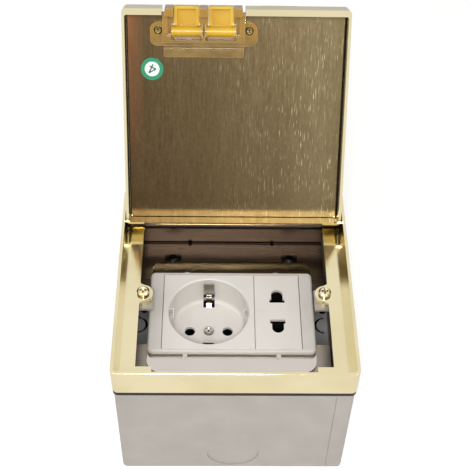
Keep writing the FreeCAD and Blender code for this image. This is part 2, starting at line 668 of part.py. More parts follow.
def make_hatch_screw(side):
    # driven from inside the lid, so the head faces down when the lid is closed
    cx, seat = hatch_x + side * ear_off, liner_face - 2.6
    s = pan_screw(0, 0, 0, 1.9, 1.3, 1.1, 5.0)
    s.rotate(V(0, 0, 0), V(1, 0, 0), 180)
    return s.translated(V(cx, ear_y, seat))


def make_label():
    return rod(-lid_half + 13.3, lid_edge + 30.1, liner_face - 0.15, label_r, 0.15)


# pieces of the insert, modelled about its own middle
insert_names = ("insert_yoke", "face_frame", "schuko", "earth_clip", "centre_screw", "pin",
                "terminal", "yoke_screw")


def swing(s):
    s = s.copy()
    s.rotate(V(0, pivot_y, pivot_z), V(1, 0, 0), -open_angle)
    return s


def build():
    fixed = {
        "back_box": make_back_box(),
        "gasket": make_gasket(),
        "trim_frame": make_trim_frame(),
        "cradle_rear": make_cradle(1),
        "cradle_front": make_cradle(-1),
        "insert_yoke": make_yoke(),
        "face_frame": make_face_frame(),
        "schuko_cover": make_schuko_cover(),
        "schuko_base": make_schuko_base(),
        "earth_clip": make_earth_clip(),
        "centre_screw": make_centre_screw(),
        "pin2_cover": make_pin2_cover(),
        "pin2_base": make_pin2_base(),
        "earth_tab": make_earth_tab(),
        "earth_washer": make_earth_washer(),
        "earth_screw": make_earth_screw(),
    }
    for side, name in ((-1, "left"), (1, "right")):
        fixed["frame_screw_" + name] = make_frame_screw(side)
        fixed["ear_spacer_" + name] = make_ear_spacer(side)
        fixed["lug_" + name] = make_lug(side)
        fixed["hinge_pin_" + name] = make_hinge_pin(side)
        fixed["pin_contact_" + name] = make_contact(side)
    for side, name in ((1, "rear"), (-1, "front")):
        fixed["pin2_contact_" + name] = make_pin2_contact(side)
        fixed["pin2_screw_" + name] = make_terminal_screw(pin2_x, side * pin2_y, pin2_bot + 1.6)
        for x, hand in ((-screw_x, "left"), (screw_x, "right")):
            fixed["yoke_screw_%s_%s" % (name, hand)] = pan_screw(
                x, screw_rear if side > 0 else screw_front, yoke_top, 2.3, 1.7, 1.5, 6.0)
    for (x, y), name in zip(terminal_spots(), ("left", "right", "earth")):
        fixed["terminal_screw_" + name] = make_terminal_screw(x, y, seat_z)
    for name in fixed:
        if name.startswith(insert_names):
            fixed[name] = fixed[name].translated(V(insert_x, 0, 0))
    lid = {
        "lid_shell": make_lid_shell(),
        "lid_backing": make_lid_backing(),
        "lid_liner": make_lid_liner(),
        "lift_tab": make_lift_tab(),
        "hatch_base": make_hatch_base(),
        "flap_left": make_flap(-1),
        "flap_right": make_flap(1),
        "flap_pin": make_flap_pin(),
        "hatch_screw_left": make_hatch_screw(-1),
        "hatch_screw_right": make_hatch_screw(1),
        "inspection_label": make_label(),
    }
    fixed.update((name, swing(s)) for name, s in lid.items())
    return fixed


os.makedirs("parts", exist_ok=True)
for node, shape in sorted(build().items()):
    if not shape.isValid() or len(shape.Solids) != 1:
        print("CHECK", node, "valid", shape.isValid(), "solids", len(shape.Solids))
    shape = shape.Solids[0] if len(shape.Solids) == 1 else shape
    shape.exportStep("parts/" + node + ".step")
print("nodes", len(os.listdir("parts")))
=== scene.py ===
import bpy
import math
from fnmatch import fnmatch
import numpy as np
from mathutils import Matrix, Vector


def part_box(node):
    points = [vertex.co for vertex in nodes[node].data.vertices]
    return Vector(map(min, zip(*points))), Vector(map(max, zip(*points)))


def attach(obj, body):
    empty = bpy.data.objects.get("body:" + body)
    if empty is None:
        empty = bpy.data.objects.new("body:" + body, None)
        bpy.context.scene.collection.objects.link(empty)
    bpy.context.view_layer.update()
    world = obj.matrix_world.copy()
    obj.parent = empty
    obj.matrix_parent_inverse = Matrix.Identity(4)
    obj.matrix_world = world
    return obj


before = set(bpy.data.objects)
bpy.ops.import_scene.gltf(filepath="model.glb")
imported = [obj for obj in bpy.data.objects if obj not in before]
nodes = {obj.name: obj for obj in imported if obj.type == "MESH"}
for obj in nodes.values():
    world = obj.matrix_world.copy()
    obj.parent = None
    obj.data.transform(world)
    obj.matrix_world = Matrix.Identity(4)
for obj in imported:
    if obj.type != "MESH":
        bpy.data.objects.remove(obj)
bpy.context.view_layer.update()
mm = 0.001
print("stage: frame loaded,", len(nodes), "nodes")


def linearColour(hexText):
    # sRGB hex to linear: the low part is a straight line, the rest a 2.4 power curve
    parts = [int(hexText[i:i + 2], 16) / 255 for i in (1, 3, 5)]
    return [c / 12.92 if c <= 0.04045 else ((c + 0.055) / 1.055) ** 2.4 for c in parts] + [1.0]


def addNode(tree, kind, inputs=None, stops=None, **settings):
    # one node: inputs are wires or plain values, settings its own fields, stops a ramp's points
    node = tree.nodes.new(kind)
    for key, value in settings.items():
        setattr(node, key, value)
    for key, value in (inputs or {}).items():
        if isinstance(value, bpy.types.NodeSocket):
            tree.links.new(value, node.inputs[key])
        else:
            node.inputs[key].default_value = value
    if stops:
        points = node.color_ramp.elements
        while len(points) < len(stops):
            points.new(0.5)
        for point, (place, hexText) in zip(points, stops):
            point.position = place
            point.color = linearColour(hexText)
    return node


def newMaterial(name):
    # an empty material and the coordinates that every pattern on it starts from
    material = bpy.data.materials.new(name)
    material.use_nodes = True
    material.node_tree.nodes.clear()
    place = addNode(material.node_tree, "ShaderNodeTexCoord").outputs["Object"]
    return material, material.node_tree, place


def closeMaterial(material, tree, inputs):
    shader = addNode(tree, "ShaderNodeBsdfPrincipled", inputs)
    addNode(tree, "ShaderNodeOutputMaterial", {"Surface": shader.outputs["BSDF"]})
    return material


def cells(size):
    # scale of a noise whose cells are this many millimetres wide
    return 1000 / size


def fromNoise(low, high):
    # inputs of a Map Range that spreads the middle part of a noise over two values
    return {1: 0.3, 2: 0.7, 3: low, 4: high}


def between(start, end, low=0.0, high=1.0):
    # inputs of a Map Range that goes from low to high between two places, in mm
    return {1: start * mm, 2: end * mm, 3: low, 4: high}


def reachAlong(name, axis):
    # how far the corners of a CAD piece go, low and high, along a direction
    data = nodes[name].data
    corners = np.empty(len(data.vertices) * 3)
    data.vertices.foreach_get("co", corners)
    along = corners.reshape(-1, 3) @ np.array(axis)
    return float(along.min()), float(along.max())


leanAngle = math.radians(28.0)            # the open lid leans back this far from upright
acrossLid = Vector((1, 0, 0))
upLid = Vector((0, math.sin(leanAngle), math.cos(leanAngle)))
outOfLid = acrossLid.cross(upLid)         # square to the lining, away from the lid
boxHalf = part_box("back_box")[1][0] / mm   # half width of the back box, in mm

# brass, buffed and clear lacquered: a pale gold mirror, slightly clouded, with faint lapping lines;
# the real lines are under 0.1 mm apart and are drawn at 0.5 mm so that they show
polishedBrass = {"name": "BrassPolished", "colour": "#E8DCB6", "shade": "#E0D3A9",
                 "roughness": (0.08, 0.13), "cloudSize": 28.6, "lineStep": 0.5, "lineDepth": 0.006}


def makePolishedBrass():
    material, tree, place = newMaterial(polishedBrass["name"])
    cloud = addNode(tree, "ShaderNodeTexNoise", {
        "Vector": place, "Scale": cells(polishedBrass["cloudSize"]), "Detail": 2.0})
    level = addNode(tree, "ShaderNodeMapping", {"Vector": place, "Scale": (0.08, 0.08, 1.0)})
    lines = addNode(tree, "ShaderNodeTexNoise", {
        "Vector": level.outputs[0], "Scale": cells(polishedBrass["lineStep"]), "Detail": 4.0})
    shade = addNode(tree, "ShaderNodeValToRGB", {"Fac": cloud.outputs["Fac"]}, stops=(
        (0.3, polishedBrass["shade"]), (0.65, polishedBrass["colour"])))
    rough = addNode(tree, "ShaderNodeMapRange", {
        "Value": lines.outputs["Fac"], **fromNoise(*polishedBrass["roughness"])})
    bump = addNode(tree, "ShaderNodeBump", {
        "Height": lines.outputs["Fac"], "Strength": 0.5,
        "Distance": polishedBrass["lineDepth"] * mm})
    return closeMaterial(material, tree, {
        "Base Color": shade.outputs["Color"], "Roughness": rough.outputs[0], "Metallic": 1.0,
        "Normal": bump.outputs["Normal"]})


# brass lining sheet, brushed up the lid and browned under its lacquer: grain, mottling, bright
# handling scratches on the right and a copper blush at the upper left; the grain of 0.1 mm is drawn
# at 0.7 mm so that it shows. Sizes are in mm, and so are places across the lid and above the floor;
# upLid is how round each pattern is, and a small share draws it out into streaks up the lid
lining = {"name": "BrassSheetBrushed",
          "tones": ("#43361F", "#574731", "#6A5A3F", "#807153", "#9C8D6A"),
          "toneStops": (0.0, 0.25, 0.5, 0.8, 1.0), "copper": "#8C5F42", "scratch": "#D9CDA6",
          "roughness": (0.30, 0.46), "grainStep": 0.7, "grainDepth": 0.02, "mottleStep": 1.3,
          "bandSize": 18.18, "clusterSize": 14.29, "dashStep": 0.42,
          "weights": {"bands": 0.35, "grain": 0.35, "mottle": 0.75}, "toneRange": (0.42, 2.06),
          "upLid": {"grain": 0.06, "dashes": 0.075, "bands": 0.15, "spots": 0.55},
          "sheet": (-52.0, 52.0), "blushAcross": (-43.0, -53.0), "blushUp": (95.0, 168.0),
          "scratchAcross": (-16.0, 30.0), "clusterRange": (0.38, 0.6), "peakRange": (0.63, 0.74),
          "scratchStrength": 0.75}


def makeLining():
    material, tree, place = newMaterial(lining["name"])
    apart = addNode(tree, "ShaderNodeSeparateXYZ", {"Vector": place})
    across, height = apart.outputs["X"], apart.outputs["Z"]
    # the same place stretched up the lid, for patterns from long streaks to nearly round spots
    drawn = {key: addNode(tree, "ShaderNodeMapping", {
        "Vector": place, "Scale": (1.0, share, share)}).outputs[0]
        for key, share in lining["upLid"].items()}
    grain = addNode(tree, "ShaderNodeTexNoise", {
        "Vector": drawn["grain"], "Scale": cells(lining["grainStep"]), "Detail": 4.0})
    mottle = addNode(tree, "ShaderNodeTexNoise", {
        "Vector": drawn["spots"], "Scale": cells(lining["mottleStep"]), "Detail": 5.0,
        "Roughness": 0.8})
    bands = addNode(tree, "ShaderNodeTexNoise", {
        "Vector": drawn["bands"], "Scale": cells(lining["bandSize"]), "Detail": 2.0})
    # tone = place across the sheet, 0 to 1, plus each pattern times its weight
    tone = addNode(tree, "ShaderNodeMapRange", {"Value": across, **between(*lining["sheet"])})
    for pattern, weight in ((bands, "bands"), (grain, "grain"), (mottle, "mottle")):
        tone = addNode(tree, "ShaderNodeMath", {
            0: pattern.outputs["Fac"], 1: lining["weights"][weight], 2: tone.outputs[0]},
            operation="MULTIPLY_ADD")
    level = addNode(tree, "ShaderNodeMapRange", {
        "Value": tone.outputs[0], 1: lining["toneRange"][0], 2: lining["toneRange"][1]})
    base = addNode(tree, "ShaderNodeValToRGB", {"Fac": level.outputs[0]},
                   stops=tuple(zip(lining["toneStops"], lining["tones"])))
    edge = addNode(tree, "ShaderNodeMapRange", {"Value": across, **between(*lining["blushAcross"])})
    high = addNode(tree, "ShaderNodeMapRange", {
        "Value": height, **between(*lining["blushUp"], 0.08, 0.95)})
    blush = addNode(tree, "ShaderNodeMath", {0: edge.outputs[0], 1: high.outputs[0]},
                    operation="MULTIPLY")
    warm = addNode(tree, "ShaderNodeMix", {
        "Factor": blush.outputs[0], 6: base.outputs["Color"], 7: linearColour(lining["copper"])},
        data_type="RGBA")
    # scratches: the peaks of a noise of short dashes, in clusters, more of them to the right
    dashes = addNode(tree, "ShaderNodeTexNoise", {
        "Vector": drawn["dashes"], "Scale": cells(lining["dashStep"]), "Detail": 1.0})
    cluster = addNode(tree, "ShaderNodeTexNoise", {
        "Vector": drawn["spots"], "Scale": cells(lining["clusterSize"]), "Detail": 2.0})
    right = addNode(tree, "ShaderNodeMapRange", {
        "Value": across, **between(*lining["scratchAcross"], 0.08, 1.0)})
    some = addNode(tree, "ShaderNodeMapRange", {
        "Value": cluster.outputs["Fac"], 1: lining["clusterRange"][0],
        2: lining["clusterRange"][1], 3: 0.3, 4: 1.0})
    peak = addNode(tree, "ShaderNodeMapRange", {
        "Value": dashes.outputs["Fac"], 1: lining["peakRange"][0], 2: lining["peakRange"][1],
        4: lining["scratchStrength"]})
    here = addNode(tree, "ShaderNodeMath", {0: right.outputs[0], 1: some.outputs[0]},
                   operation="MULTIPLY")
    scratch = addNode(tree, "ShaderNodeMath", {0: here.outputs[0], 1: peak.outputs[0]},
                      operation="MULTIPLY")
    marked = addNode(tree, "ShaderNodeMix", {
        "Factor": scratch.outputs[0], 6: warm.outputs[2], 7: linearColour(lining["scratch"])},
        data_type="RGBA")
    rough = addNode(tree, "ShaderNodeMapRange", {
        "Value": grain.outputs["Fac"], **fromNoise(*lining["roughness"])})
    relief = addNode(tree, "ShaderNodeMath", {
        0: grain.outputs["Fac"], 1: mottle.outputs["Fac"]}, operation="ADD")
    bump = addNode(tree, "ShaderNodeBump", {
        "Height": relief.outputs[0], "Strength": 0.6, "Distance": lining["grainDepth"] * mm})
    return closeMaterial(material, tree, {
        "Base Color": marked.outputs[2], "Roughness": rough.outputs[0], "Metallic": 1.0,
        "Normal": bump.outputs["Normal"]})


# small steel and nickel pieces: two tones of the plating, roughness and cloud size in mm
plated = {
    "SteelBracket": {                 # galvanised strip, fresh: dull pale grey with slow clouds
        "tones": ("#A89D92", "#B5AA9F"), "roughness": (0.28, 0.38), "cloud": 10.0, "metallic": 0.9},
    "SteelScrewZinc": {               # barrel plated with zinc: bright, silvery, a little uneven
        "tones": ("#B3AEA4", "#D2CDC3"), "roughness": (0.16, 0.26), "cloud": 2.0, "metallic": 1.0},
    "SteelScrewBlack": {              # phosphated and oiled: near black with a wet sheen
        "tones": ("#0E0C0B", "#1C1916"), "roughness": (0.18, 0.3), "cloud": 1.5, "metallic": 0.8},
    "SpringStripNickel": {            # rolled spring strip, nickel plated: smooth and mirror bright
        "tones": ("#B4AFA6", "#CFCAC1"), "roughness": (0.05, 0.09), "cloud": 4.0, "metallic": 1.0},
    "BrassContactTinned": {           # tinned by dipping: dull dark grey, painted shade deep in the sockets
        "tones": ("#46413A", "#565048"), "roughness": (0.3, 0.45), "cloud": 3.0, "metallic": 1.0},
}
# the fine even tooth of rolled sheet: about 0.1 mm, drawn at 0.4 mm so that it shows
sheetTooth = {"step": 0.4, "depth": 0.008}


def makePlated(name):
    # slow clouds in the coating over the tooth of the sheet
    values = plated[name]
    material, tree, place = newMaterial(name)
    cloud = addNode(tree, "ShaderNodeTexNoise", {
        "Vector": place, "Scale": cells(values["cloud"]), "Detail": 4.0, "Roughness": 0.6})
    tooth = addNode(tree, "ShaderNodeTexNoise", {
        "Vector": place, "Scale": cells(sheetTooth["step"]), "Detail": 2.0})
    shade = addNode(tree, "ShaderNodeValToRGB", {"Fac": cloud.outputs["Fac"]}, stops=(
        (0.3, values["tones"][0]), (0.7, values["tones"][1])))
    rough = addNode(tree, "ShaderNodeMapRange", {
        "Value": cloud.outputs["Fac"], **fromNoise(*values["roughness"])})
    bump = addNode(tree, "ShaderNodeBump", {
        "Height": tooth.outputs["Fac"], "Strength": 0.6, "Distance": sheetTooth["depth"] * mm})
    return closeMaterial(material, tree, {
        "Base Color": shade.outputs["Color"], "Roughness": rough.outputs[0],
        "Metallic": values["metallic"], "Normal": bump.outputs["Normal"]})


# galvanised box sheet, hot dipped: a dull cloudy grey; the floor inside is painted near white,
# painted light for the light the shaded floor lacks; wallInside is where the tone turns, in mm
# inwards from the outer face
boxPlate = {"name": "SteelGalvanised", "tones": ("#A8A29C", "#B4ADA7"), "inside": "#F0EEEA",
            "roughness": (0.40, 0.55), "metallic": 0.2, "cloud": 14.0, "floorTop": 4.0,
            "wallInside": (0.6, 1.0)}


def makeBoxPlate():
    material, tree, place = newMaterial(boxPlate["name"])
    cloud = addNode(tree, "ShaderNodeTexNoise", {
        "Vector": place, "Scale": cells(boxPlate["cloud"]), "Detail": 4.0})
    tooth = addNode(tree, "ShaderNodeTexNoise", {
        "Vector": place, "Scale": cells(sheetTooth["step"]), "Detail": 2.0})
    shade = addNode(tree, "ShaderNodeValToRGB", {"Fac": cloud.outputs["Fac"]}, stops=(
        (0.3, boxPlate["tones"][0]), (0.7, boxPlate["tones"][1])))
    # the larger of |x| and |y|, and the height, tell the floor inside from the walls' outside
    distance = addNode(tree, "ShaderNodeVectorMath", {0: place}, operation="ABSOLUTE")
    apart = addNode(tree, "ShaderNodeSeparateXYZ", {"Vector": distance.outputs["Vector"]})
    reach = addNode(tree, "ShaderNodeMath", {0: apart.outputs["X"], 1: apart.outputs["Y"]},
                    operation="MAXIMUM")
    skin, inner = boxPlate["wallInside"]
    within = addNode(tree, "ShaderNodeMapRange", {
        "Value": reach.outputs[0], **between(boxHalf - skin, boxHalf - inner)})
    low = addNode(tree, "ShaderNodeMapRange", {
        "Value": apart.outputs["Z"], **between(1.5 * boxPlate["floorTop"], boxPlate["floorTop"])})
    floor = addNode(tree, "ShaderNodeMath", {0: within.outputs[0], 1: low.outputs[0]},
                    operation="MULTIPLY")
    # painted light: the floor inside the box is mixed towards near white
    toned = addNode(tree, "ShaderNodeMix", {
        "Factor": floor.outputs[0], 6: shade.outputs["Color"], 7: linearColour(boxPlate["inside"])},
        data_type="RGBA")
    rough = addNode(tree, "ShaderNodeMapRange", {
        "Value": cloud.outputs["Fac"], **fromNoise(*boxPlate["roughness"])})
    bump = addNode(tree, "ShaderNodeBump", {
        "Height": tooth.outputs["Fac"], "Strength": 0.6, "Distance": sheetTooth["depth"] * mm})
    return closeMaterial(material, tree, {
        "Base Color": toned.outputs[2], "Roughness": rough.outputs[0],
        "Metallic": boxPlate["metallic"], "Normal": bump.outputs["Normal"]})


# zinc plated yoke: bright in front, brown from turn[0] to turn[1] mm behind the middle, a little
# unevenly: the brown is a painted reflection of the dark lid lining
yokePlate = {"name": "SteelZincYoke", "front": "#D3CAC3", "rear": "#8A7D71",
             "roughness": (0.13, 0.2), "cloud": 16.67, "uneven": 0.12, "turn": (21.0, 27.5),
             "toothDepth": 0.006}


def makeYokePlate():
    material, tree, place = newMaterial(yokePlate["name"])
    cloud = addNode(tree, "ShaderNodeTexNoise", {
        "Vector": place, "Scale": cells(yokePlate["cloud"]), "Detail": 4.0})
    tooth = addNode(tree, "ShaderNodeTexNoise", {
        "Vector": place, "Scale": cells(sheetTooth["step"]), "Detail": 2.0})
    apart = addNode(tree, "ShaderNodeSeparateXYZ", {"Vector": place})
    back = addNode(tree, "ShaderNodeMapRange", {
        "Value": apart.outputs["Y"], **between(*yokePlate["turn"])})
    uneven = addNode(tree, "ShaderNodeMath", {
        0: cloud.outputs["Fac"], 1: yokePlate["uneven"], 2: back.outputs[0]},
        operation="MULTIPLY_ADD")
    # painted reflection: towards the rear the colour turns to the brown of the lid lining
    shade = addNode(tree, "ShaderNodeValToRGB", {"Fac": uneven.outputs[0]}, stops=(
        (0.05, yokePlate["front"]), (1.0, yokePlate["rear"])))
    rough = addNode(tree, "ShaderNodeMapRange", {
        "Value": cloud.outputs["Fac"], **fromNoise(*yokePlate["roughness"])})
    bump = addNode(tree, "ShaderNodeBump", {
        "Height": tooth.outputs["Fac"], "Strength": 0.5, "Distance": yokePlate["toothDepth"] * mm})
    return closeMaterial(material, tree, {
        "Base Color": shade.outputs["Color"], "Roughness": rough.outputs[0], "Metallic": 1.0,
        "Normal": bump.outputs["Normal"]})


# cold rolled cradle sheet, oiled and browned, streaked along the roll; its dark tones are partly
# that brown and partly a painted reflection of the dark lid lining, and painted shade darkens the
# bend at the foot of the leg and the brim. Heights and depths in mm
cradlePlate = {"name": "SteelColdRolled", "tones": ("#675C53", "#75695E"), "bend": "#1C1713",
               "roughness": (0.26, 0.36), "streakStep": 1.111, "streakDepth": 0.008,
               "legFace": 47.4, "shelfTop": 53.7, "bendReach": 1.4, "brimShade": (64.0, 65.5)}


def makeCradlePlate():
    material, tree, place = newMaterial(cradlePlate["name"])
    leg, shelf, reach = (cradlePlate[key] for key in ("legFace", "shelfTop", "bendReach"))
    along = addNode(tree, "ShaderNodeMapping", {"Vector": place, "Scale": (0.06, 1.0, 1.0)})
    rolled = addNode(tree, "ShaderNodeTexNoise", {
        "Vector": along.outputs[0], "Scale": cells(cradlePlate["streakStep"]), "Detail": 4.0})
    shade = addNode(tree, "ShaderNodeValToRGB", {"Fac": rolled.outputs["Fac"]}, stops=(
        (0.3, cradlePlate["tones"][0]), (0.7, cradlePlate["tones"][1])))
    apart = addNode(tree, "ShaderNodeSeparateXYZ", {"Vector": place})
    # painted shade in the bend at the foot of the leg and over the brim
    near = addNode(tree, "ShaderNodeMapRange", {
        "Value": apart.outputs["Y"], **between(leg - reach, leg - 0.5 * reach)})
    low = addNode(tree, "ShaderNodeMapRange", {
        "Value": apart.outputs["Z"], **between(shelf + reach, shelf + 0.8 * reach)})
    corner = addNode(tree, "ShaderNodeMath", {0: near.outputs[0], 1: low.outputs[0]},
                     operation="MULTIPLY")
    brimShade = addNode(tree, "ShaderNodeMapRange", {
        "Value": apart.outputs["Z"], **between(*cradlePlate["brimShade"], 0.0, 0.8)})
    paintedShade = addNode(tree, "ShaderNodeMath", {0: corner.outputs[0], 1: brimShade.outputs[0]},
                   operation="MAXIMUM")
    toned = addNode(tree, "ShaderNodeMix", {
        "Factor": paintedShade.outputs[0], 6: shade.outputs["Color"], 7: linearColour(cradlePlate["bend"])},
        data_type="RGBA")
    rough = addNode(tree, "ShaderNodeMapRange", {
        "Value": rolled.outputs["Fac"], **fromNoise(*cradlePlate["roughness"])})
    bump = addNode(tree, "ShaderNodeBump", {
        "Height": rolled.outputs["Fac"], "Strength": 0.5,
        "Distance": cradlePlate["streakDepth"] * mm})
    return closeMaterial(material, tree, {
        "Base Color": toned.outputs[2], "Roughness": rough.outputs[0], "Metallic": 1.0,
        "Normal": bump.outputs["Normal"]})


# cross-head screws: painted shade down in the recess and a bright head, with flecks that are scars
# in the relief and painted glints in the colour; the tone goes from dark to bright over depth mm
# below the top
crossHeads = {
    "SteelScrewYellowZinc": {         # yellow passivated: pale gold heads
        "piece": "frame_screw_left", "axis": Vector((0, 0, 1)), "depth": 1.3,
        "tones": ("#4A3E22", "#E9DFBE"), "roughness": (0.10, 0.22)},
    "SteelScrewNickel": {             # nickel plated: white and bright
        "piece": "centre_screw", "axis": Vector((0, 0, 1)), "depth": 0.8,
        "tones": ("#57524A", "#E6E2DC"), "roughness": (0.10, 0.2)},
    "SteelScrewBurnished": {          # heat browned and burnished: dark bronze, a painted highlight on the crown
        "piece": "hatch_screw_left", "axis": outOfLid, "depth": 0.9,
        "tones": ("#120D06", "#948659"), "roughness": (0.05, 0.16)},
}
fleck = {"step": 1.111, "depth": 0.03, "weight": 0.6}     # scars of about 1 mm, as real ones are; in the colour they are also painted glints


def makeCrossHead(name):
    values = crossHeads[name]
    material, tree, place = newMaterial(name)
    top = reachAlong(values["piece"], values["axis"])[1] / mm
    level = addNode(tree, "ShaderNodeVectorMath", {0: place, 1: values["axis"]},
                    operation="DOT_PRODUCT")
    # painted shade: dark down in the recess, bright on the top of the head
    recessShade = addNode(tree, "ShaderNodeMapRange", {
        "Value": level.outputs["Value"], **between(top - values["depth"], top - 0.1, 0.0, 0.75)})
    flecks = addNode(tree, "ShaderNodeTexNoise", {
        "Vector": place, "Scale": cells(fleck["step"]), "Detail": 3.0})
    # the flecks also add painted glints to the colour
    tone = addNode(tree, "ShaderNodeMath", {
        0: flecks.outputs["Fac"], 1: fleck["weight"], 2: recessShade.outputs[0]},
        operation="MULTIPLY_ADD")
    shade = addNode(tree, "ShaderNodeValToRGB", {"Fac": tone.outputs[0]}, stops=(
        (0.25, values["tones"][0]), (0.95, values["tones"][1])))
    rough = addNode(tree, "ShaderNodeMapRange", {
        "Value": flecks.outputs["Fac"], **fromNoise(*values["roughness"])})
    bump = addNode(tree, "ShaderNodeBump", {
        "Height": flecks.outputs["Fac"], "Strength": 0.7, "Distance": fleck["depth"] * mm})
    return closeMaterial(material, tree, {
        "Base Color": shade.outputs["Color"], "Roughness": rough.outputs[0], "Metallic": 1.0,
        "Normal": bump.outputs["Normal"]})


# plastics, rubber and board: colour and its slight mottle, roughness, depth of the skin in mm
moulded = {
    "PolycarbonateFrame": {           # injection moulded, spark eroded tool: matt warm white
        "tones": ("#D3CEC7", "#D8D3CC"), "roughness": (0.34, 0.44), "skin": 0.008},
    "PolycarbonateModule": {          # the same tool finish, a lighter tone than the frame
        "tones": ("#E0DBD5", "#E4E0DA"), "roughness": (0.34, 0.44), "skin": 0.008},
    "PolyamideCharcoal": {            # glass filled: near black and dry
        "tones": ("#131211", "#1B1A19"), "roughness": (0.5, 0.6), "skin": 0.01},
    "AcetalYellow": {                 # moulded, waxy: a soft sheen on deep yellow
        "tones": ("#D9AE30", "#E2BB3A"), "roughness": (0.26, 0.38), "skin": 0.006},
    "NeopreneBlack": {                # die cut foam rubber: brown black, no highlight
        "tones": ("#1B160F", "#261F15"), "roughness": (0.65, 0.8), "skin": 0.02},
    "FibreBoardBlack": {              # pressed fibre board: flat brown black
        "tones": ("#0F0C08", "#15110C"), "roughness": (0.7, 0.85), "skin": 0.02},
    "InkGreen": {                     # printed ink: even dark green, slightly satin
        "tones": ("#125A41", "#176B4E"), "roughness": (0.4, 0.5), "skin": 0.004},
}
# the eroded skin has grains of 0.1 mm, drawn at 1.1 mm so that they show
skinPattern = {"mottleSize": 16.67, "step": 1.111}


def makeMoulded(name):
    # even colour with a whisper of mottling, and the skin of the mould as roughness and relief
    values = moulded[name]
    material, tree, place = newMaterial(name)
    mottle = addNode(tree, "ShaderNodeTexNoise", {
        "Vector": place, "Scale": cells(skinPattern["mottleSize"]), "Detail": 3.0})
    skin = addNode(tree, "ShaderNodeTexNoise", {
        "Vector": place, "Scale": cells(skinPattern["step"]), "Detail": 3.0})
    shade = addNode(tree, "ShaderNodeValToRGB", {"Fac": mottle.outputs["Fac"]}, stops=(
        (0.35, values["tones"][0]), (0.65, values["tones"][1])))
    rough = addNode(tree, "ShaderNodeMapRange", {
        "Value": skin.outputs["Fac"], **fromNoise(*values["roughness"])})
    bump = addNode(tree, "ShaderNodeBump", {
        "Height": skin.outputs["Fac"], "Strength": 0.6, "Distance": values["skin"] * mm})
    return closeMaterial(material, tree, {
        "Base Color": shade.outputs["Color"], "Roughness": rough.outputs[0],
        "Normal": bump.outputs["Normal"]})


# amber polycarbonate, moulded and part clear: a painted highlight makes the edges pale, flow lines
# show, and it turns to deep gold at the flaps, from deepFrom to deepTo mm before the front of the
# lid
amberHatch = {
    "PolycarbonateAmber": {"tones": ("#7C6026", "#98793A"), "edge": "#DCBA7A", "thick": "#AE811F",
                           "through": 0.12},
    "PolycarbonateAmberThin": {"tones": ("#D9A94A", "#E8C473"), "edge": "#F3DFA8",
                               "thick": "#E3B24A", "through": 0.35},
}
amberMoulding = {"flowSize": 9.09, "swirl": 0.4, "deepFrom": 19.0, "deepTo": 11.0,
                 "deepShare": 0.85, "edgeWidth": 0.35, "edgeTurn": (0.98, 0.82), "edgeShare": 0.9,
                 "roughness": (0.14, 0.26), "index": 1.58}


def makeAmber(name):
    values = amberHatch[name]
    material, tree, place = newMaterial(name)
    flow = addNode(tree, "ShaderNodeTexNoise", {
        "Vector": place, "Scale": cells(amberMoulding["flowSize"]), "Detail": 3.0,
        "Distortion": amberMoulding["swirl"]})
    shade = addNode(tree, "ShaderNodeValToRGB", {"Fac": flow.outputs["Fac"]}, stops=(
        (0.35, values["tones"][0]), (0.7, values["tones"][1])))
    # the deep block glows gold, the thin ears and lip let the brown lining through
    level = addNode(tree, "ShaderNodeVectorMath", {0: place, 1: upLid}, operation="DOT_PRODUCT")
    end = reachAlong("hatch_base", upLid)[1] / mm
    deep = addNode(tree, "ShaderNodeMapRange", {"Value": level.outputs["Value"], **between(
        end - amberMoulding["deepFrom"], end - amberMoulding["deepTo"], 0.0,
        amberMoulding["deepShare"])})
    gold = addNode(tree, "ShaderNodeMix", {
        "Factor": deep.outputs[0], 6: shade.outputs["Color"], 7: linearColour(values["thick"])},
        data_type="RGBA")
    # a rounded normal parts from the flat one only along an edge
    rounded = addNode(tree, "ShaderNodeBevel", {"Radius": amberMoulding["edgeWidth"] * mm},
                      samples=4)
    flat = addNode(tree, "ShaderNodeNewGeometry")
    turn = addNode(tree, "ShaderNodeVectorMath", {
        0: rounded.outputs[0], 1: flat.outputs["Normal"]}, operation="DOT_PRODUCT")
    edge = addNode(tree, "ShaderNodeMapRange", {
        "Value": turn.outputs["Value"], 1: amberMoulding["edgeTurn"][0],
        2: amberMoulding["edgeTurn"][1], 4: amberMoulding["edgeShare"]})
    # painted highlight: along the edges the colour is mixed towards the pale edge tone
    edgeHighlight = addNode(tree, "ShaderNodeMix", {
        "Factor": edge.outputs[0], 6: gold.outputs[2], 7: linearColour(values["edge"])},
        data_type="RGBA")
    rough = addNode(tree, "ShaderNodeMapRange", {
        "Value": flow.outputs["Fac"], **fromNoise(*amberMoulding["roughness"])})
    return closeMaterial(material, tree, {
        "Base Color": edgeHighlight.outputs[2], "Roughness": rough.outputs[0],
        "IOR": amberMoulding["index"], "Transmission Weight": values["through"]})


# printed vinyl disc with a satin laminate: a green ring round white. For the plain digit: height,
# width of its bars, turn in degrees, lift over the disc and thickness of the film
sticker = {"name": "VinylPrinted", "ring": "#1F8E66", "paper": "#EEF3EE", "inner": 3.55,
           "inkEdge": 0.05, "grainStep": 0.4, "roughness": (0.35, 0.5), "height": 4.6,
           "stroke": 0.6, "turn": 154.0, "lift": 0.11, "film": 0.04}
stickerMiddle = sum((sum(reachAlong("inspection_label", axis)) / 2 * axis
                     for axis in (acrossLid, upLid, outOfLid)), Vector((0, 0, 0)))


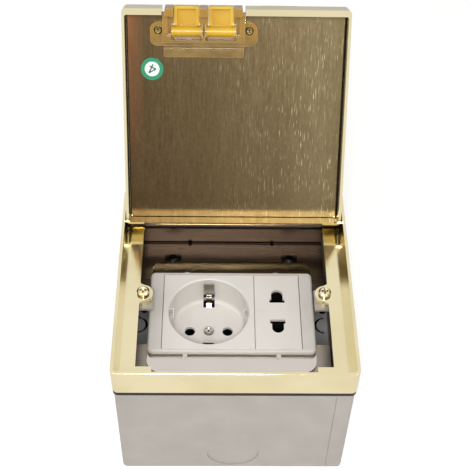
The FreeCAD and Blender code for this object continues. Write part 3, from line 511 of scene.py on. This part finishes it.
def makeSticker():
    material, tree, place = newMaterial(sticker["name"])
    centred = addNode(tree, "ShaderNodeMapping", {"Vector": place, "Location": -stickerMiddle})
    reach = addNode(tree, "ShaderNodeVectorMath", {0: centred.outputs[0]}, operation="LENGTH")
    ring = addNode(tree, "ShaderNodeMapRange", {"Value": reach.outputs["Value"], **between(
        sticker["inner"] - sticker["inkEdge"], sticker["inner"] + sticker["inkEdge"])})
    shade = addNode(tree, "ShaderNodeValToRGB", {"Fac": ring.outputs[0]}, stops=(
        (0.0, sticker["paper"]), (1.0, sticker["ring"])))
    grain = addNode(tree, "ShaderNodeTexNoise", {
        "Vector": place, "Scale": cells(sticker["grainStep"])})
    rough = addNode(tree, "ShaderNodeMapRange", {
        "Value": grain.outputs["Fac"], **fromNoise(*sticker["roughness"])})
    return closeMaterial(material, tree, {
        "Base Color": shade.outputs["Color"], "Roughness": rough.outputs[0]})


finish = {}
for make, kinds in ((makePlated, plated), (makeCrossHead, crossHeads), (makeMoulded, moulded),
                    (makeAmber, amberHatch)):
    for name in kinds:
        finish[name] = make(name)
for make in (makePolishedBrass, makeLining, makeYokePlate, makeBoxPlate, makeCradlePlate,
             makeSticker):
    made = make()
    finish[made.name] = made
print("stage: materials,", len(finish))

# which CAD pieces wear which finish: the first line that fits a name holds, and what no line fits
# is a plain zinc plated fastener
wornBy = {
    "BrassPolished": ("trim_frame", "lid_shell", "lift_tab", "hinge_pin_*", "ear_spacer_*"),
    "BrassSheetBrushed": ("lid_liner",),
    "SteelGalvanised": ("back_box", "lug_*"),
    "SteelScrewYellowZinc": ("frame_screw_*",),
    "SteelScrewNickel": ("centre_screw",),
    "SteelScrewBurnished": ("hatch_screw_*",),
    "SteelScrewBlack": ("yoke_screw*",),
    "SteelColdRolled": ("cradle_rear",),
    "SteelBracket": ("cradle_front", "earth_tab"),
    "SteelZincYoke": ("insert_yoke",),
    "SpringStripNickel": ("earth_clip",),
    "BrassContactTinned": ("pin_contact*", "pin2_contact*"),
    "NeopreneBlack": ("gasket",),
    "FibreBoardBlack": ("lid_backing",),
    "PolycarbonateAmber": ("hatch_base",),
    "PolycarbonateFrame": ("face_frame",),
    "PolycarbonateModule": ("*_cover",),
    "PolyamideCharcoal": ("*_base",),
    "AcetalYellow": ("flap_left", "flap_right"),
    "VinylPrinted": ("inspection_label",),
}
for name, node in nodes.items():
    fitting = [worn for worn, patterns in wornBy.items() if any(fnmatch(name, p) for p in patterns)]
    node.data.materials.clear()
    node.data.materials.append(finish[fitting[0] if fitting else "SteelScrewZinc"])


def addSurface(name, points, faces, finishName, body, thickness):
    # a finished piece from corner points and faces, thickened evenly into a thin sheet
    mesh = bpy.data.meshes.new(name)
    mesh.from_pydata(np.asarray(points).reshape(-1, 3).tolist(), [], np.asarray(faces).tolist())
    mesh.update()
    piece = bpy.data.objects.new(name, mesh)
    bpy.context.scene.collection.objects.link(piece)
    solid = piece.modifiers.new("Thickness", "SOLIDIFY")
    solid.thickness = thickness
    solid.offset = 0.0
    piece.data.materials.append(finish[finishName])
    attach(piece, body)


def gridFaces(rows, columns):
    # quads of a grid whose points run row by row
    corner = (np.arange(rows - 1)[:, None] * columns + np.arange(columns - 1)).ravel()
    return np.stack([corner, corner + 1, corner + columns + 1, corner + columns], axis=1)


def onLid(across, up, out):
    # points = across, up and out, each times its direction on the open lid
    return (np.array(acrossLid) * across[..., None] + np.array(upLid) * up[..., None]
            + np.array(outOfLid) * out[..., None])


def makeDigit():
    # a plain 4: three flat bars (slanted, level, upright), turned and laid on the sticker; a bar's
    # corners are its two ends, moved sideways by half the bar's width
    ends = np.array([[[-0.36, -0.16], [0.12, 0.5]], [[-0.36, -0.16], [0.36, -0.16]],
                     [[0.12, -0.5], [0.12, 0.5]]]) * sticker["height"] * mm
    along = ends[:, 1] - ends[:, 0]
    along /= np.linalg.norm(along, axis=1, keepdims=True)
    side = np.stack([-along[:, 1], along[:, 0]], axis=1) * sticker["stroke"] * mm / 2
    flat = np.stack([ends[:, 0] - side, ends[:, 1] - side, ends[:, 1] + side, ends[:, 0] + side],
                    axis=1)
    turn = math.radians(sticker["turn"])
    spin = np.array([[math.cos(turn), math.sin(turn)], [-math.sin(turn), math.cos(turn)]])
    flat = flat.reshape(-1, 2) @ spin
    points = np.array(stickerMiddle) + onLid(
        flat[:, 0], flat[:, 1], np.full(len(flat), sticker["lift"] * mm))
    addSurface("LabelDigit", points, np.arange(len(points)).reshape(-1, 4), "InkGreen", "lid",
               sticker["film"] * mm)


# thin clear film round the barrel slots: barrel radius, clearance to the barrel, film, rounded
# corners, and from where to where it goes inwards from the outer face, in mm
slotLining = {"radius": 3.1, "clearance": 0.16, "wall": 0.1, "corner": 0.4, "depth": (0.2, 5.2)}


def makeSlotLining(side):
    # a U of film round the barrel: its line goes down one end, along under and up the other end,
    # with quarter circles at the corners, and is carried from the outer face inwards
    flap = "flap_" + side
    x0, x1 = reachAlong(flap, acrossLid)
    low, outer = reachAlong(flap, upLid)[0], reachAlong(flap, outOfLid)[0]
    away, corner = slotLining["clearance"] * mm, slotLining["corner"] * mm
    turn = np.radians(np.linspace(0, 90, 6))
    left = np.stack([x0 - away + corner * (1 - np.cos(turn)),
                     low - away + corner * (1 - np.sin(turn))], axis=1)
    right = np.stack([x0 + x1 - left[::-1, 0], left[::-1, 1]], axis=1)
    top = low + 2 * slotLining["radius"] * mm
    line = np.concatenate([[[x0 - away, top]], left, right, [[x1 + away, top]]])[:, None, :]
    out = outer + np.linspace(*slotLining["depth"], 7) * mm
    addSurface("SlotLining_" + side, onLid(line[..., 0], line[..., 1], out[None, :]),
               gridFaces(len(line), len(out)), "PolycarbonateAmberThin", "lid",
               slotLining["wall"] * mm)


# strips that close the gap down both edges of a flap, in mm: half width of the flap, gap, film, how
# far a strip stays from the flap's two ends, its depth from the outer face, and its bow
flapSeal = {"half": 5.85, "gap": 0.16, "wall": 0.16, "fromEnds": (7.4, 0.3), "depth": (0.4, 4.9),
            "bow": 0.04}


def makeFlapSeals(side):
    # a strip's two parameters are depth t and length; it bows outwards by bow sin(pi t)
    flap = "flap_" + side
    middle = sum(reachAlong(flap, acrossLid)) / 2
    low, high = reachAlong(flap, upLid)
    outer = reachAlong(flap, outOfLid)[0]
    t = np.linspace(0, 1, 7)[None, :]
    length = np.linspace(low + flapSeal["fromEnds"][0] * mm, high - flapSeal["fromEnds"][1] * mm,
                         12)[:, None]
    near, far = flapSeal["depth"]
    out = outer + (near + (far - near) * t) * mm
    away = (flapSeal["half"] + flapSeal["gap"] + flapSeal["bow"] * np.sin(math.pi * t)) * mm
    for edge, sign in (("A", -1), ("B", 1)):
        addSurface("FlapSeal_%s_%s" % (side, edge), onLid(middle + sign * away, length, out),
                   gridFaces(length.size, t.size), "PolycarbonateAmberThin",
                   "flap_%s_body" % side, flapSeal["wall"] * mm)


makeDigit()
for side in ("left", "right"):
    makeSlotLining(side)
    makeFlapSeals(side)
print("stage: sticker digit, slot linings and flap seals")

# black strip in the joint between the lining and the walls of the lid, a painted shadow for the
# shade in that gap: its crown stands drop below the lining's face, and it stops this far inside the
# ends of the hatch
gapShadowStrip = {"width": 0.55, "height": 0.4, "drop": 0.15, "wall": 0.1, "underHatch": 6.0}


def makeGapShadowStrip():
    # a low arch, height times sin(pi t) over the width, carried straight along the lining's edges
    x0, x1 = reachAlong("lid_liner", acrossLid)
    low, high = reachAlong("lid_liner", upLid)
    face = reachAlong("lid_liner", outOfLid)[1]
    hatch0, hatch1 = reachAlong("hatch_base", acrossLid)
    half, under = gapShadowStrip["width"] / 2 * mm, gapShadowStrip["underHatch"] * mm
    runs = (([x0 - half, low], [x0 - half, high]), ([x1 + half, low], [x1 + half, high]),
            ([x0 - half, high + half], [hatch0 + under, high + half]),
            ([hatch1 - under, high + half], [x1 + half, high + half]))
    t = np.linspace(0, 1, 9)
    out = face + (gapShadowStrip["height"] * (np.sin(math.pi * t) - 1) - gapShadowStrip["drop"]) * mm
    for number, (start, end) in enumerate(runs):
        start, end = np.array(start), np.array(end)
        sideways = np.array([start[1] - end[1], end[0] - start[0]]) / np.linalg.norm(end - start)
        route = start + (end - start) * np.linspace(0, 1, 30)[:, None]
        flat = route[:, None, :] + sideways * ((t - 0.5) * gapShadowStrip["width"] * mm)[None, :, None]
        # painted shadow: a black strip laid along the gap
        addSurface("LiningGapShadow_%d" % number, onLid(flat[..., 0], flat[..., 1], out[None, :]),
                   gridFaces(len(route), len(t)), "FibreBoardBlack", "lid",
                   gapShadowStrip["wall"] * mm)


makeGapShadowStrip()
print("stage: lining bead")

# plain pale studio: paper floor, white surround, a softbox high in front and one at each side; a
# lamp is its name, its place in metres, the side of its square and its power in watts
studio = {"floor": ("#F2F1EF", "#F6F5F3"), "underBoxShadow": "#0E0D0C", "floorSize": 3.0,
          "paperCloud": 333.3, "aimHeight": 0.07, "skyFill": 0.46, "lift": 0.34,
          "liftInMetal": 0.02,
          "lamps": (("FrontSoftbox", (-0.02, -0.46, 0.67), 0.15, 2.6),
                    ("KeySoftbox", (-0.55, -0.45, 0.9), 0.6, 2.6),
                    ("FillSoftbox", (0.65, -0.5, 0.6), 0.6, 1.5))}


def makeFloor():
    half = studio["floorSize"] / 2
    mesh = bpy.data.meshes.new("StudioFloor")
    mesh.from_pydata([(-half, -half, 0), (half, -half, 0), (half, half, 0), (-half, half, 0)], [],
                     [(0, 1, 2, 3)])
    floor = bpy.data.objects.new("StudioFloor", mesh)
    bpy.context.scene.collection.objects.link(floor)
    material, tree, place = newMaterial("PaperSeamless")
    tone = addNode(tree, "ShaderNodeTexNoise", {
        "Vector": place, "Scale": cells(studio["paperCloud"])})
    shade = addNode(tree, "ShaderNodeValToRGB", {"Fac": tone.outputs["Fac"]}, stops=(
        (0.2, studio["floor"][0]), (0.8, studio["floor"][1])))
    # the paper is white everywhere but under the box, which is painted dark as the box's shadow
    distance = addNode(tree, "ShaderNodeVectorMath", {0: place}, operation="ABSOLUTE")
    apart = addNode(tree, "ShaderNodeSeparateXYZ", {"Vector": distance.outputs["Vector"]})
    reach = addNode(tree, "ShaderNodeMath", {0: apart.outputs["X"], 1: apart.outputs["Y"]},
                    operation="MAXIMUM")
    clear = addNode(tree, "ShaderNodeMapRange", {
        "Value": reach.outputs[0], **between(boxHalf - 2, boxHalf - 1)})
    paperAndShadow = addNode(tree, "ShaderNodeMix", {
        "Factor": clear.outputs[0], 6: linearColour(studio["underBoxShadow"]), 7: shade.outputs["Color"]},
        data_type="RGBA")
    diffuse = addNode(tree, "ShaderNodeBsdfDiffuse", {"Color": paperAndShadow.outputs[2]})
    # seen directly the paper is lifted to white, and a little of that shows in metal and glass
    path = addNode(tree, "ShaderNodeLightPath")
    inMetal = addNode(tree, "ShaderNodeMath", {
        0: path.outputs["Is Glossy Ray"], 1: path.outputs["Is Transmission Ray"]},
        operation="MAXIMUM")
    faint = addNode(tree, "ShaderNodeMath", {0: inMetal.outputs[0], 1: studio["liftInMetal"]},
                    operation="MULTIPLY")
    seen = addNode(tree, "ShaderNodeMath", {
        0: path.outputs["Is Camera Ray"], 1: studio["lift"], 2: faint.outputs[0]},
        operation="MULTIPLY_ADD")
    # the lift is left off under the box, to keep the painted shadow there
    power = addNode(tree, "ShaderNodeMath", {0: seen.outputs[0], 1: clear.outputs[0]},
                    operation="MULTIPLY")
    glow = addNode(tree, "ShaderNodeEmission", {"Strength": power.outputs[0]})
    both = addNode(tree, "ShaderNodeAddShader", {0: diffuse.outputs[0], 1: glow.outputs[0]})
    addNode(tree, "ShaderNodeOutputMaterial", {"Surface": both.outputs[0]})
    floor.data.materials.append(material)


def makeWorld():
    # white where it is seen, directly or in metal and glass, and skyFill as a light on the object
    world = bpy.data.worlds.new("StudioWorld")
    bpy.context.scene.world = world
    world.use_nodes = True
    tree = world.node_tree
    tree.nodes.clear()
    path = addNode(tree, "ShaderNodeLightPath")
    seen = addNode(tree, "ShaderNodeMath", {
        0: path.outputs["Is Camera Ray"], 1: path.outputs["Is Glossy Ray"]}, operation="MAXIMUM")
    seenToo = addNode(tree, "ShaderNodeMath", {
        0: seen.outputs[0], 1: path.outputs["Is Transmission Ray"]}, operation="MAXIMUM")
    strength = addNode(tree, "ShaderNodeMapRange", {
        "Value": seenToo.outputs[0], 3: studio["skyFill"], 4: 1.0})
    sky = addNode(tree, "ShaderNodeBackground", {
        "Strength": strength.outputs[0], "Color": (1.0, 1.0, 1.0, 1.0)})
    addNode(tree, "ShaderNodeOutputWorld", {"Surface": sky.outputs[0]})


def addLamp(name, place, size, power):
    # a square softbox aimed at the middle of the part
    lamp = bpy.data.lights.new(name, "AREA")
    lamp.size = size
    lamp.energy = power
    thing = bpy.data.objects.new(name, lamp)
    bpy.context.scene.collection.objects.link(thing)
    away = Vector(place) - Vector((0, 0, studio["aimHeight"]))
    turn = away.to_track_quat("Z", "Y").to_matrix().to_4x4()
    thing.matrix_world = Matrix.Translation(place) @ turn


# camera: eye in mm, the directions of its right, up and back, lens and sensor width in mm;
# it stands in front and looks down at about 49 degrees
view = {"eye": (-10.02, -299.15, 461.13), "right": (0.99976, -0.00846, 0.02040),
        "up": (-0.00694, 0.75666, 0.65378), "back": (-0.02097, -0.65376, 0.75641),
        "lens": 78.0894, "sensor": 36.0, "nearest": 0.01}


def addCamera():
    camera = bpy.data.cameras.new("Camera")
    camera.sensor_width = view["sensor"]
    camera.lens = view["lens"]
    camera.clip_start = view["nearest"]
    thing = bpy.data.objects.new("Camera", camera)
    bpy.context.scene.collection.objects.link(thing)
    rotation = Matrix((view["right"], view["up"], view["back"])).transposed()
    thing.matrix_world = Matrix.Translation(Vector(view["eye"]) * mm) @ rotation.to_4x4()
    bpy.context.scene.camera = thing


makeFloor()
makeWorld()
for lampValues in studio["lamps"]:
    addLamp(*lampValues)
addCamera()
bpy.context.scene.view_settings.view_transform = "Standard"
print("stage: studio and camera")
